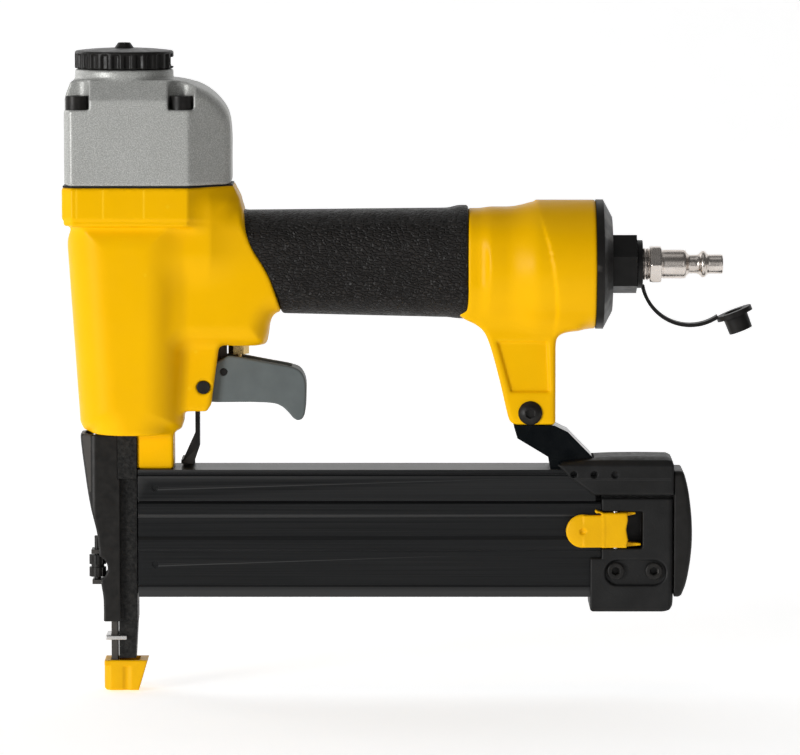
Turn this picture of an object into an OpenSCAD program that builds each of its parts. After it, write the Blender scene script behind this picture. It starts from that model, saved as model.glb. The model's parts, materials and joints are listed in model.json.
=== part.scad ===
// Pneumatic brad nailer. Millimetres. The origin is where the drive line meets the work:
// +X runs back towards the handle and the air inlet, +Z up the cylinder, Y across the tool.

/* [Head] */
// Height of the seam between head and housing
seam_z = 203.8; // [200:0.1:206]
// Height of the head's top face, under the exhaust cap
head_top_z = 249.3; // [248:0.1:251]
// Half width of the head across the tool
head_half_y = 26; // [25.6:0.1:28]
// Radius of the exhaust cap
cap_r = 19.7; // [19:0.1:21]
// Number of grip grooves round the exhaust cap
cap_grooves = 26; // [16:1:32]

/* [Drive] */
// Bore radius of the cylinder
bore_r = 14; // [13.6:0.1:14.2]
// Stroke of the piston
stroke = 80; // [60:1:80]
// Underside of the piston crown at rest
piston_z = 197.5; // [197.5:0.1:198]

/* [Handle] */
// Height of the axis of the rear barrel and air inlet
inlet_z = 171.2; // [170:0.1:173]
// Radius of the rear barrel
barrel_r = 25.9; // [25:0.1:27]
// Half width of the rubber grip
grip_half_y = 18; // [17.5:0.1:19]
// Where the rubber grip ends
grip_end_x = 137.2; // [130:0.1:140]
// Radius of the tip of the air plug
plug_tip_r = 3.9; // [3.8:0.05:4]

/* [Trigger] */
// Pivot of the trigger along the tool
pivot_x = 31.5; // [31:0.1:32]
// Height of the trigger's pivot
pivot_z = 122.8; // [122:0.1:123]
// Half width of the trigger
trigger_half_y = 8; // [7.6:0.1:8]
// Radius of the trigger's pivot pin
pivot_r = 2.6; // [2:0.1:2.8]
// Axis of the trigger valve along the tool
valve_x = 45.3; // [45:0.1:46]

/* [Nose] */
// Underside of the driver guide
guide_z = 12.8; // [12:0.1:14]
// Radius of the depth wheel
wheel_r = 3.4; // [3:0.1:3.8]
// Axis of the depth wheel and its stud
wheel_x = -11.6; // [-11.8:0.1:-11.4]

/* [Magazine] */
// Top of the magazine
mag_top_z = 89.8; // [89.6:0.1:90.2]
// Underside of the magazine
mag_bottom_z = 38.6; // [38:0.1:40]
// Half width of the magazine
mag_half_y = 12.5; // [12:0.1:12.5]
// Rear end of the fixed rail
rail_end_x = 188; // [186:0.1:188]

/* [Hidden] */
$fn = 48;
gap = 0.05;
run = 0.06;
gasket_t = 0.6;
housing_top_z = seam_z - gasket_t;
collar_z = 188.8;
tower_z = 104;
floor_z = 109;
head_front_x = -24;
head_back_x = 26;
head_rear_x = 43.8;
neck_r = 19.8;
valve_cavity_r = 17;
head_cavity_z = 231;
screw_xs = [-17.9, 23.4];
screw_y = 20.6;
screw_seat_z = 234;
screw_r = 2.45;
cap_z = head_top_z + 0.3;
cap_top_z = cap_z + 8;
cap_screw_r = 2.2;
sleeve_top_z = housing_top_z - 0.2;
sleeve_wall = 1.5;
piston_top_z = piston_z + 4.8;
bumper_top_z = piston_z - stroke - 0.3;
blade_tip_z = 93;
blade_x = 0.7;
blade_y = 1.5;
handle_z = [155.5, 190.5];
handle_half_y = 15.5;
barrel_x = [163, 188];
plate_face_x = 194.6;
hex_face_x = 204.5;
plug_thread_r = 6.6;
leg_half_y = 11;
leg_screw_at = [161.9, 112.4];
ear_y = [8.4, 12];
valve_nut_z = [135.3, 139.3];
valve_seat_z = 139.6;
stem_r = 1.15;
stem_tip_z = 133.6;
trip_at = [57, 127.2];
trip_half_t = 0.8;
trip_pin_half_y = 7.2;
spring_pin_at = [39.5, 128.6];
guide_x = [-2.9, 4.7];
guide_half_y = 8;
flange_half_y = 11;
flange_z = [86, 103.9];
cover_y = [9.3, 11];
nose_screw_ys = [-5.6, 5.6];
nose_low_z = 28.4;
arm_half_y = 3;
arm_side_y = [12.9, 14.3];
arm_side_z = [84.4, 89.4];
arm_cross_z = [91.2, 92.8];
nail_top_z = 88.4;
wheel_z = [45.4, 54.2];
stud_r = 1.3;
split_z = [76.6, 77.2];
tee_z = [80.7, 84.4];
slide_end_x = 190.2;
tail_x = [190.3, 219.3];
tail_z = [32.8, 78.4];
tail_half_y = 14.2;
latch_disc = [182.9, 65.3];
latch_pin_at = [196, -12];

// The trigger's side outline, from its pivot round the finger hook.
TRIGGER_SIDE = [
    [30, 132], [36.6, 132.6], [41.4, 135], [46.6, 134.5], [68.3, 130.3],
    [71.8, 127.2], [72.5, 122.6], [71.8, 111.6], [69.4, 109.2], [67.2, 110.4],
    [62.6, 115.2], [58.6, 116.1], [49.8, 116.5], [36.6, 116.4], [30, 116.8]
];

// A round bar along X, between two places.
module bar_x(x, r, y = 0, z = 0) {
    translate([x[0], y, z]) rotate([0, 90, 0]) cylinder(r = r, h = x[1] - x[0]);
}

// A round bar along Y, at a place in the XZ plane.
module bar_y(y, r, at) {
    translate([at[0], y[0], at[1]]) rotate([-90, 0, 0]) cylinder(r = r, h = y[1] - y[0]);
}

// A round bar along Z.
module bar_z(z, r, at = [0, 0]) {
    translate([at[0], at[1], z[0]]) cylinder(r = r, h = z[1] - z[0]);
}

// A block between pairs of limits.
module block(x, y, z) {
    translate([x[0], y[0], z[0]]) cube([x[1] - x[0], y[1] - y[0], z[1] - z[0]]);
}

// An XZ outline, extruded across the tool.
module across(y) {
    translate([0, y[1], 0]) rotate([90, 0, 0]) linear_extrude(y[1] - y[0]) children();
}

// A YZ outline, extruded along the tool.
module along(x) {
    translate([x[0], 0, 0]) rotate([90, 0, 90]) linear_extrude(x[1] - x[0]) children();
}

// A rectangle with true round corners.
module round_rect(x, y, r) {
    translate([x[0] + r, y[0]]) square([x[1] - x[0] - 2 * r, y[1] - y[0]]);
    translate([x[0], y[0] + r]) square([x[1] - x[0], y[1] - y[0] - 2 * r]);
    for (cx = [x[0] + r, x[1] - r], cy = [y[0] + r, y[1] - r]) {
        translate([cx, cy]) circle(r);
    }
}

// A seal ring round the Z axis.
module seal_ring(r, wire, z) {
    translate([0, 0, z]) rotate_extrude() translate([r, 0]) circle(wire, $fn = 24);
}

// A coil spring round the Z axis, as one swept tube.
module coil(r, wire, z, turns, steps = 12, sides = 6) {
    n = turns * steps;
    rise = z[1] - z[0] - 2 * wire;
    points = [
        for (i = [0:n], j = [0:sides - 1])
            let (a = 360 * i / steps, b = 360 * j / sides, out = r + wire * cos(b))
                [out * cos(a), out * sin(a), z[0] + wire + rise * i / n + wire * sin(b)]
    ];
    skin = [
        for (i = [0:n - 1], j = [0:sides - 1])
            let (k = (j + 1) % sides, here = i * sides, next = here + sides)
                each [[here + j, here + k, next + k], [here + j, next + k, next + j]]
    ];
    start = [for (j = [sides - 1:-1:0]) j];
    end = [for (j = [0:sides - 1]) n * sides + j];
    polyhedron(points, concat(skin, [start, end]), convexity = 10);
}

// The outline that the head and the housing's collar share, seen from above.
module head_plan() {
    half = head_half_y;
    polygon([
        [head_front_x, 4.5 - half], [head_front_x + 4, -half], [head_back_x, -half],
        [head_rear_x, 14.5 - half], [head_rear_x, half - 14.5], [head_back_x, half],
        [head_front_x + 4, half], [head_front_x, half - 4.5]
    ]);
}

module head_casting() {
    side = [
        [head_front_x, seam_z], [head_front_x, 238], [-22, 242], [-neck_r, 245.8],
        [-neck_r, head_top_z], [neck_r, head_top_z], [neck_r, 245.6], [29, 243.2],
        [34.6, 240.4], [39.8, 235.6], [42.6, 231.2], [head_rear_x, 227], [head_rear_x, seam_z]
    ];
    front = [
        [-head_half_y, seam_z], [-head_half_y, 238], [-neck_r, 245.8], [-neck_r, head_top_z],
        [neck_r, head_top_z], [neck_r, 245.8], [head_half_y, 238], [head_half_y, seam_z]
    ];
    color("silver") difference() {
        intersection() {
            translate([0, 0, seam_z]) linear_extrude(60) head_plan();
            across([-40, 40]) polygon(side);
            along([-40, 60]) polygon(front);
        }
        // corners above the neck, so that the top is round
        difference() {
            block([-40, 60], [-40, 40], [246, 260]);
            bar_z([245, 261], neck_r);
        }
        bar_z([seam_z - 1, head_cavity_z], valve_cavity_r);
        block([valve_cavity_r + 2, head_rear_x - 4], [-13, 13], [seam_z - 1, 225]);
        bar_z([head_cavity_z + 6, head_top_z + 1], cap_screw_r + gap);
        for (a = [45:90:315]) {
            bar_z([head_cavity_z - 1, head_top_z + 1], 2.6, 9 * [cos(a), sin(a)]);
        }
        for (x = screw_xs, s = [-1, 1]) {
            bar_z([seam_z - 1, 260], screw_r + gap, [x, s * screw_y]);
            bar_z([screw_seat_z, 260], 4.9, [x, s * screw_y]);
            translate([x - 4.9, s > 0 ? screw_y : -screw_y - 12, screw_seat_z]) cube([9.8, 12, 30]);
        }
    }
}

module head_gasket() {
    color("dimgray") difference() {
        translate([0, 0, housing_top_z]) linear_extrude(gasket_t) offset(delta = -0.4) head_plan();
        bar_z([housing_top_z - 1, seam_z + 1], valve_cavity_r + 0.2);
        block([valve_cavity_r + 2, head_rear_x - 4], [-13, 13], [housing_top_z - 1, seam_z + 1]);
        for (x = screw_xs, y = [-screw_y, screw_y]) {
            bar_z([housing_top_z - 1, seam_z + 1], screw_r + 0.2, [x, y]);
        }
    }
}

// Socket cap screw along Z, its head on the seat.
module head_screws() {
    color("black") for (x = screw_xs, y = [-screw_y, screw_y]) {
        difference() {
            union() {
                bar_z([190.4, screw_seat_z + 1], screw_r, [x, y]);
                bar_z([screw_seat_z, screw_seat_z + 5.4], 4.4, [x, y]);
            }
            translate([x, y, screw_seat_z + 2.6]) cylinder(r = 2.3, h = 4, $fn = 6);
        }
    }
}

module exhaust_cap() {
    color("black") difference() {
        union() {
            bar_z([cap_z, cap_top_z - 1.6], cap_r);
            translate([0, 0, cap_top_z - 1.6]) cylinder(r1 = cap_r, r2 = cap_r - 1, h = 0.8);
            translate([0, 0, cap_top_z - 0.81]) cylinder(r1 = cap_r - 1, r2 = 9, h = 0.81);
        }
        bar_z([cap_z - 1, cap_z + 4.4], 15.5);
        bar_z([cap_z - 1, cap_top_z + 1], cap_screw_r + run);
        block([10, 25], [-7, 7], [cap_z + 0.8, cap_z + 4.4]);
        for (i = [0:cap_grooves - 1]) {
            a = 360 * (i + 0.5) / cap_grooves;
            bar_z([cap_z - 1, cap_top_z - 2.2], 1.3, (cap_r + 0.4) * [cos(a), sin(a)]);
        }
    }
}

module cap_screw() {
    color("dimgray") difference() {
        union() {
            bar_z([head_cavity_z + 7, cap_top_z + 1], cap_screw_r);
            translate([0, 0, cap_top_z + gap]) cylinder(r1 = 3.9, r2 = 2.4, h = 2.1);
        }
        translate([0, 0, cap_top_z + 0.9]) cylinder(r = 1.7, h = 3, $fn = 6);
    }
}

module head_valve() {
    z = sleeve_top_z + 0.4;
    color("silver") difference() {
        union() {
            bar_z([z, 212], valve_cavity_r - run);
            bar_z([211, 222], 5);
        }
        difference() {
            bar_z([206.3, 208.9], valve_cavity_r + 1);
            bar_z([206, 209], 14.5);
        }
    }
}

module head_valve_seal() {
    color("black") seal_ring(15.7, 1.1, 207.6);
}

module head_valve_spring() {
    color("silver") coil(9, 0.9, [212 + gap, head_cavity_z - gap], 5);
}

// The leg that comes down from the rear barrel to the magazine.
module leg() {
    across([-leg_half_y, leg_half_y]) polygon([
        [137.3, 151.4], [142.8, 146], [146, 138.6], [149.4, 126], [152.7, 110.8], [154.7, 107.6],
        [172, 107.6], [172, 140], [175.4, 146], [180, 152], [180, 160], [137.3, 160]
    ]);
}

// Everything of the housing before it is bored.
module housing_solid() {
    translate([0, 0, collar_z]) linear_extrude(housing_top_z - collar_z) head_plan();
    intersection() {
        across([-40, 40]) polygon([[-23.6, 189.5], [24.4, 189.5], [23, tower_z], [-18.3, tower_z]]);
        along([-40, 40]) polygon([[-25.5, 189.5], [25.5, 189.5], [20, tower_z], [-20, tower_z]]);
    }
    across([-17, 17]) polygon([
        [18, 194], [47.5, 194], [47.4, 185.6], [51, 177.6], [55, 171.6], [58.2, 165.6],
        [62, 158.8], [64, 152], [62, 153.2], [57.4, 147.6], [55.4, valve_seat_z], [18, valve_seat_z]
    ]);
    across([-ear_y[1], ear_y[1]]) polygon([
        [18, 140], [37.8, 140], [34.6, 115.6], [33, 113], [18, 113]
    ]);
    block([4.8, 19.4], [-10, 10], [mag_top_z, 106]);
    along([40, 164]) round_rect([-handle_half_y, handle_half_y], handle_z, 12);
    along([grip_end_x, 160]) round_rect([-grip_half_y, grip_half_y], [151, 193.4], 13);
    translate([152, 0, inlet_z]) rotate([0, 90, 0]) cylinder(r1 = 20, r2 = barrel_r, h = 11.01);
    bar_x(barrel_x, barrel_r, 0, inlet_z);
    leg();
}

module main_housing() {
    color("gold") difference() {
        housing_solid();
        bar_z([floor_z, 118], bore_r + sleeve_wall + gap);
        bar_z([117, 140], 16.9);
        bar_z([139, 210], 18.6);
        bar_z([100, 110], 2.2);
        along([14, 180]) round_rect([-12, 12], [158.5, 186.5], 9);
        block([26, head_rear_x - 5], [-12, 12], [186, 210]);
        bar_x([167, 200], 22 + gap, 0, inlet_z);
        for (x = screw_xs, y = [-screw_y, screw_y]) {
            bar_z([190, 210], screw_r + gap, [x, y]);
        }
        block([25.6, 40], [-ear_y[0], ear_y[0]], [100, valve_seat_z]);
        block([36, 41], [-3.6, 3.6], [139, 146]);
        bar_z([139, 159], 4 + gap, [valve_x, 0]);
        bar_y([-20, 20], pivot_r + 0.02, [pivot_x, pivot_z]);
        block([150, 180], [-2.3, 2.3], [100, 120]);
        bar_y([-20, 20], 2.55, leg_screw_at);
        for (y = [[-20, -leg_half_y + 2], [leg_half_y - 2, 20]]) {
            across(y) polygon([[148.8, 140.8], [168.6, 140.8], [169.8, 120.4], [154, 120.4]]);
        }
        for (y = nose_screw_ys) {
            bar_x([0, 16], 2.05, y, 98.5);
        }
    }
}

module cylinder_sleeve() {
    color("silver") difference() {
        union() {
            bar_z([floor_z + gap, sleeve_top_z], bore_r + sleeve_wall);
            bar_z([195, 199], 18.5);
        }
        bar_z([100, 210], bore_r);
        for (z = [112.5, 200.4]) {
            difference() {
                bar_z([z - 0.8, z + 0.8], 17);
                bar_z([z - 1, z + 1], bore_r + 0.7);
            }
        }
        for (a = [0:30:330]) {
            rotate([0, 0, a]) bar_x([12, 20], 1, 0, 122);
        }
    }
}

module sleeve_rings() {
    color("black") {
        seal_ring(bore_r + 1.45, 0.7, 200.4);
        translate([0, 0, 112.5]) rotate_extrude() {
            translate([bore_r + 0.75, -0.6]) square([0.75, 1.2]);
        }
    }
}

module bumper() {
    color("dimgray") difference() {
        union() {
            bar_z([floor_z + gap, bumper_top_z - 2], bore_r - 0.2);
            translate([0, 0, bumper_top_z - 2.01]) cylinder(r1 = bore_r - 0.2, r2 = 11, h = 2.01);
        }
        bar_z([100, 130], 4.8);
    }
}

module piston() {
    color("silver") difference() {
        union() {
            bar_z([piston_z, piston_top_z], bore_r - run);
            bar_z([piston_z - 4.5, piston_z + 1], 4.2);
        }
        difference() {
            bar_z([piston_z + 1.2, piston_z + 3.6], bore_r + 1);
            bar_z([piston_z + 1, piston_z + 4], 11.8);
        }
        block([-blade_x - gap, blade_x + gap], [-blade_y - gap, blade_y + gap],
            [piston_z - 6, piston_z + 0.5]);
    }
}

module piston_ring() {
    color("black") seal_ring(12.9, 1, piston_z + 2.4);
}

module driver_blade() {
    color("silver") block([-blade_x, blade_x], [-blade_y, blade_y], [blade_tip_z, piston_z + 0.4]);
}

module grip_sleeve() {
    color("dimgray") difference() {
        intersection() {
            along([40, grip_end_x - gap]) round_rect([-grip_half_y, grip_half_y], [149.6, 195], 14);
            across([-40, 40]) polygon([
                [45.6, 193.4], [50, 193], [130, 193.4], [134, 195], [137.2, 195], [137.2, 149.6],
                [110, 150.6], [64.6, 152.2], [62.2, 155], [60.6, 160], [58.2, 166.9], [55, 172.9],
                [51, 178.9], [47.4, 186.9]
            ]);
        }
        along([30, 150]) round_rect([-handle_half_y - gap, handle_half_y + gap],
            [handle_z[0] - gap, handle_z[1] + gap], 12 + gap);
        across([-17 - gap, 17 + gap]) polygon([
            [30, 199], [47.6, 199], [47.5, 185.6], [51.1, 177.6], [55.1, 171.6], [58.3, 165.6],
            [62.1, 158.8], [64.1, 152], [64.1, 148], [30, 148]
        ]);
    }
}

module end_plate() {
    color("black") difference() {
        union() {
            bar_x([barrel_x[1] + gap, 191], barrel_r, 0, inlet_z);
            translate([190.99, 0, inlet_z]) rotate([0, 90, 0])
                cylinder(r1 = barrel_r, r2 = 19, h = plate_face_x - 190.99);
            bar_x([181, barrel_x[1] + 1], 22, 0, inlet_z);
            translate([190, 0, inlet_z]) rotate([0, 90, 0]) rotate([0, 0, 12])
                cylinder(r = 21 / sqrt(3), h = hex_face_x - 190, $fn = 6);
        }
        bar_x([170, 210], plug_thread_r + gap, 0, inlet_z);
        bar_x([170, 186], 17, 0, inlet_z);
        difference() {
            bar_x([183.4, 185.8], 23, 0, inlet_z);
            bar_x([183, 186], 20.4, 0, inlet_z);
        }
    }
}

module end_plate_ring() {
    color("black") translate([184.6, 0, inlet_z]) rotate([0, 90, 0]) seal_ring(21.2, 0.75, 0);
}

module air_plug() {
    color("lightgray") difference() {
        union() {
            bar_x([193, 209.7], plug_thread_r, 0, inlet_z);
            translate([209.6, 0, inlet_z]) rotate([0, 90, 0]) rotate([0, 0, 30])
                cylinder(r = 14 / sqrt(3), h = 4.8, $fn = 6);
            bar_x([214.3, 224], 5.8, 0, inlet_z);
            translate([224, 0, inlet_z]) rotate([0, 90, 0]) cylinder(r1 = 5.8, r2 = 3.8, h = 1.5);
            bar_x([225.4, 239], 3.8, 0, inlet_z);
            translate([229, 0, inlet_z]) rotate([0, 90, 0]) cylinder(r1 = 3.8, r2 = 5.45, h = 2);
            translate([231, 0, inlet_z]) rotate([0, 90, 0])
                cylinder(r1 = 5.45, r2 = plug_tip_r, h = 2);
            bar_x([232.9, 239], plug_tip_r, 0, inlet_z);
        }
        bar_x([190, 240], 2.5, 0, inlet_z);
    }
}

// Swivel ring round the plug's thread, a curved strap and the cup that covers the plug.
module dust_cap() {
    strap_r = 19.4;
    strap_at = [226, 166.2];
    cup_at = [243.7, 151.5];
    color("dimgray") difference() {
        union() {
            bar_x([204.8, 206.8], 9.6, 0, inlet_z);
            translate([strap_at[0], 3, strap_at[1]]) rotate([90, 0, 0]) rotate([0, 0, 190])
                rotate_extrude(angle = 115, $fn = 96) translate([strap_r - 0.7, 0]) square([1.4, 6]);
            translate([cup_at[0], 0, cup_at[1]]) rotate([0, 158.6, 0]) {
                translate([0, 0, -1]) cylinder(r = 7.4, h = 2);
                cylinder(r1 = 5, r2 = 4.8, h = 7.4);
            }
        }
        bar_x([200, 210], plug_thread_r + 0.08, 0, inlet_z);
        translate([cup_at[0], 0, cup_at[1]]) rotate([0, 158.6, 0]) translate([0, 0, -2])
            cylinder(r = plug_tip_r + 0.05, h = 8);
    }
}

module trigger() {
    color("gray") difference() {
        union() {
            for (y = [[-trigger_half_y, -5.5], [5.5, trigger_half_y]]) {
                across(y) polygon(TRIGGER_SIDE);
                bar_y(y, 5.6, [pivot_x, pivot_z]);
            }
            across([-trigger_half_y, trigger_half_y]) polygon([
                [40, 116.5], [49.8, 116.5], [58.6, 116.1], [62.6, 115.2], [67.2, 110.4],
                [69.4, 109.2], [71.8, 111.6], [72.5, 122.6], [71.8, 127.2], [68.3, 130.3],
                [66, 130.7], [69, 126.5], [69.8, 122.6], [69, 113.5], [64, 118], [58.6, 118.3],
                [40, 118.5]
            ]);
        }
        bar_y([-20, 20], pivot_r + run, [pivot_x, pivot_z]);
        bar_y([-trip_pin_half_y - gap, trip_pin_half_y + gap], 1.22, trip_at);
        for (y = [[-9, -5], [5, 9]]) {
            bar_y(y, 1.42, spring_pin_at);
        }
    }
}

module trigger_pin() {
    color("black") bar_y([-12.6, 12.6], pivot_r, [pivot_x, pivot_z]);
}

module trigger_spring() {
    color("silver") translate([pivot_x, 5.3, pivot_z]) rotate([90, 0, 0]) coil(3.3, 0.35, [0, 2], 2);
}

module spring_pins() {
    color("black") {
        bar_y([-8.2, -3.8], 1.4, spring_pin_at);
        bar_y([5.5, 8.2], 1.4, spring_pin_at);
    }
}

module trip_lever() {
    color("silver") difference() {
        union() {
            block([40, trip_at[0]], [-2.8, 2.8], [trip_at[1] - trip_half_t, trip_at[1] + trip_half_t]);
            bar_y([-2.8, 2.8], 2.4, trip_at);
        }
        bar_y([-5, 5], 1.2 + run, trip_at);
    }
}

module trip_pin() {
    color("silver") bar_y([-trip_pin_half_y, trip_pin_half_y], 1.2, trip_at);
}

module valve_body() {
    color("goldenrod") difference() {
        union() {
            translate([valve_x, 0, valve_nut_z[0]]) cylinder(r = 4.15, h = 4, $fn = 6);
            bar_z([valve_nut_z[1] - 0.1, 158], 4, [valve_x, 0]);
        }
        bar_z([130, 160], stem_r + run, [valve_x, 0]);
        bar_z([146, 156], 3.2, [valve_x, 0]);
    }
}

module valve_stem() {
    color("gold") {
        bar_z([stem_tip_z, 151], stem_r, [valve_x, 0]);
        bar_z([150, 152], 2.6, [valve_x, 0]);
    }
}

module valve_spring() {
    color("silver") translate([valve_x, 0, 0]) coil(2.2, 0.3, [152 + gap, 156 - gap], 4);
}

module driver_guide() {
    color("dimgray") difference() {
        union() {
            across([-5, 5]) polygon([[-2.9, 29], [4.7, 29], [3.8, guide_z], [-2.9, guide_z]]);
            block(guide_x, [-guide_half_y, guide_half_y], [nose_low_z, 88]);
            block(guide_x, [-flange_half_y, flange_half_y], flange_z);
        }
        block([-0.9, 0.9], [-1.7, 1.7], [10, 110]);
        block([0, 6], [-0.75, 0.75], [40, nail_top_z]);
        for (y = nose_screw_ys) {
            bar_x([-5, 6], 2.05, y, 98.5);
        }
    }
}

// The nose cover seen from above, its front corners chamfered.
module cover_plan(inset) {
    half = cover_y[1];
    offset(delta = -inset) polygon([
        [-18.1, -half / 2], [-12.8, -half], [20, -half], [20, half], [-12.8, half],
        [-18.1, half / 2]
    ]);
}

// Hollow cover over the safety mechanism, open at the back and where the depth wheel shows.
module nose_cover() {
    color("black") difference() {
        intersection() {
            across([-cover_y[1], cover_y[1]]) polygon([
                [-18, 102], [-15.8, 85.2], [-14, 74.8], [-11, 62.2], [-9.9, 45.2], [-8.8, 36.4],
                [-8.9, nose_low_z], [-2, nose_low_z], [-2, 85.7], [-2.95, 85.7],
                [-2.95, 103.8], [-17, 103.8]
            ]);
            translate([0, 0, 20]) linear_extrude(90) cover_plan(0);
        }
        intersection() {
            across([-cover_y[0], cover_y[0]]) polygon([
                [-16.3, 102], [-14.2, 85.2], [-12.3, 74.8], [-9.4, 62.2], [-8.3, 45.2],
                [-7.2, 36.4], [-7.2, 20], [0, 20], [0, 110], [-16.3, 110]
            ]);
            translate([0, 0, 10]) linear_extrude(110) cover_plan(1.6);
        }
        block([-25, -7], [-5.2, 5.2], [41, 70]);
        block([-25, -7.6], [-20, 20], [44.6, 55.2]);
        block([-11, 0], [5, 20], [83, 110]);
    }
}

module nose_screws() {
    color("black") for (y = nose_screw_ys) {
        difference() {
            union() {
                bar_x([-4, 14], 2, y, 98.5);
                bar_x([guide_x[0] - 2.6, guide_x[0]], 3.4, y, 98.5);
            }
            translate([guide_x[0] - 3, y, 98.5]) rotate([0, 90, 0]) cylinder(r = 1.7, h = 2, $fn = 6);
        }
    }
}

// Strip from the depth wheel up the nose, round the far side and up behind the trigger's pivot.
module safety_arm() {
    color("dimgray") difference() {
        union() {
            block([-7.6, -6], [-5, 5], [55, 92.6]);
            block([-14, -6], [-4, 4], [55, 56.6]);
            block([-13.5, -6], [-4, 4], [91, 92.6]);
            block([-9.5, -6], [-1, arm_side_y[1]], [arm_side_z[0] + 1, arm_side_z[1]]);
            block([-9.5, 27.2], arm_side_y, arm_side_z);
            block([22.2, 27.2], arm_side_y, [arm_side_z[0], arm_cross_z[1]]);
            block([22.2, 27.2], [-arm_half_y, arm_side_y[1]], arm_cross_z);
            across([-arm_half_y, arm_half_y]) polygon([
                [22.2, arm_cross_z[0]], [27.2, arm_cross_z[0]], [29.7, 98.4], [29.7, 113.5],
                [27.6, 117], [27.6, 127.6],
                [36.8, 127.6], [36.8, 124.4], [38.4, 124.4], [38.4, 139], [36.8, 139],
                [36.8, 129.2], [26, 129.2], [26, 116.4], [27.9, 113], [27.9, 103.8]
            ]);
            block([38, 43], [-arm_half_y, arm_half_y], [124.4, 126]);
            block([36.8, 40.6], [-arm_half_y, arm_half_y], [134, 139]);
        }
        bar_z([50, 60], stud_r + 0.3, [wheel_x, 0]);
    }
}

module safety_spring() {
    color("silver") translate([-10.2, 0, 0]) coil(2.6, 0.45, [92.6 + gap, tower_z - gap], 6);
}

module depth_wheel() {
    color("black") difference() {
        union() {
            bar_z([wheel_z[0], wheel_z[0] + 3.8], wheel_r, [wheel_x, 0]);
            bar_z([wheel_z[0] + 3, wheel_z[1] - 3], wheel_r - 0.8, [wheel_x, 0]);
            bar_z([wheel_z[1] - 3.8, wheel_z[1]], wheel_r, [wheel_x, 0]);
        }
        bar_z([40, 60], stud_r + run, [wheel_x, 0]);
        for (i = [0:11]) {
            bar_z([40, 60], 0.35, [wheel_x, 0] + (wheel_r + 0.05) * [cos(30 * i), sin(30 * i)]);
        }
    }
}

module contact_foot() {
    color("dimgray") {
        block([-6, -3.5], [-5, 5], [3.6, 44.4]);
        block([-13.6, -3.5], [-4, 4], [42.6, 44.4]);
        bar_z([44, 61.8], stud_r, [wheel_x, 0]);
    }
}

module foot_clip() {
    color("silver") difference() {
        block([-8.2, 0.2], [-6.8, 6.8], [20.4, 22.2]);
        block([-6.05, 1], [-5.4, 5.4], [20, 23]);
    }
}

module no_mar_tip() {
    color("gold") difference() {
        across([-7.3, 7.3]) polygon([
            [-8.8, 12.2], [-8.8, 0.8], [-8, 0], [4.9, 0], [8.6, 12.2]
        ]);
        block([-6.05, 5.2], [-5.4, 5.4], [3.55, 20]);
        block([-1.5, 1.5], [-2, 2], [-5, 10]);
    }
}

// Upper half of the magazine, with the tee slot that the sliding half hangs in.
module magazine_rail() {
    color("dimgray") difference() {
        along([5.2, rail_end_x]) rail_section();
        bar_y([-14, 0.4 - mag_half_y], 1.4, [12.1, 82.6]);
    }
}

// The rail's section: its sides, the tee slot and the slot that the nails stand in.
module rail_section() {
    difference() {
        polygon([
            [-mag_half_y, split_z[1]], [mag_half_y, split_z[1]], [mag_half_y, 87.2],
            [mag_half_y - 0.8, 87.5], [mag_half_y - 0.8, 88.1], [mag_half_y, 88.4],
            [mag_half_y, mag_top_z], [-mag_half_y, mag_top_z], [-mag_half_y, 88.4],
            [-mag_half_y + 0.8, 88.1], [-mag_half_y + 0.8, 87.5], [-mag_half_y, 87.2]
        ]);
        translate([-5.3, split_z[1] - 1]) square([10.6, 8]);
        translate([-8.8, tee_z[0]]) square([17.6, tee_z[1] - tee_z[0]]);
        translate([-0.9, 80]) square([1.8, nail_top_z - 80]);
    }
}

module rail_bracket() {
    color("black") difference() {
        union() {
            across([-9, 9]) polygon([
                [155.3, 107.2], [156.8, 102], [169.1, 94.6], [170, mag_top_z + 0.01],
                [187.2, mag_top_z + 0.01], [187.2, 93.8], [186.4, 95], [177, 104.6], [171.6, 107.2]
            ]);
            block([155.6, 171], [-2.2, 2.2], [106, 118]);
        }
        bar_y([-10, 10], 2.55, leg_screw_at);
    }
}

module bracket_cover() {
    color("dimgray") difference() {
        intersection() {
            across([-tail_half_y, tail_half_y]) polygon([
                [172.8, 92.4], [177, 87.3], [187.5, 79.6], [219.3, 79.6], [219.3, 93.4],
                [217.6, 95], [198, 95], [180, 93.8]
            ]);
            along([170, 220]) polygon([
                [-tail_half_y, 79], [tail_half_y, 79], [tail_half_y, 92.4], [9.4, 95.2],
                [-9.4, 95.2], [-tail_half_y, 92.4]
            ]);
        }
        block([160, rail_end_x + 0.1], [-12.6, 12.6], [70, 100]);
        block([180, 230], [-9.2, 9.2], [70, 85]);
        block([188, 216], [-11.8, 11.8], [86.5, 92.2]);
        for (x = [179.2, 187.4, 195.7]) {
            bar_y([-20, -12.7], 1.3, [x, 88]);
        }
    }
}

module leg_screw() {
    color("black") difference() {
        union() {
            bar_y([-leg_half_y - 2.6, -leg_half_y], 5, leg_screw_at);
            bar_y([-leg_half_y - 1, leg_half_y + 4.5], 2.5, leg_screw_at);
        }
        translate([leg_screw_at[0], -leg_half_y - 3, leg_screw_at[1]]) rotate([-90, 0, 0])
            cylinder(r = 1.8, h = 2, $fn = 6);
    }
}

module leg_nut() {
    color("black") difference() {
        translate([leg_screw_at[0], leg_half_y, leg_screw_at[1]]) rotate([-90, 0, 0])
            cylinder(r = 4.6, h = 4, $fn = 6);
        bar_y([0, 30], 2.5, leg_screw_at);
    }
}

// Sliding half of the magazine, which draws back off the nails.
module magazine_slide() {
    color("dimgray") difference() {
        along([5.3, slide_end_x]) slide_section();
        bar_y([-14, 1 - mag_half_y], 1.4, [12.1, 51.8]);
    }
}

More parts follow.
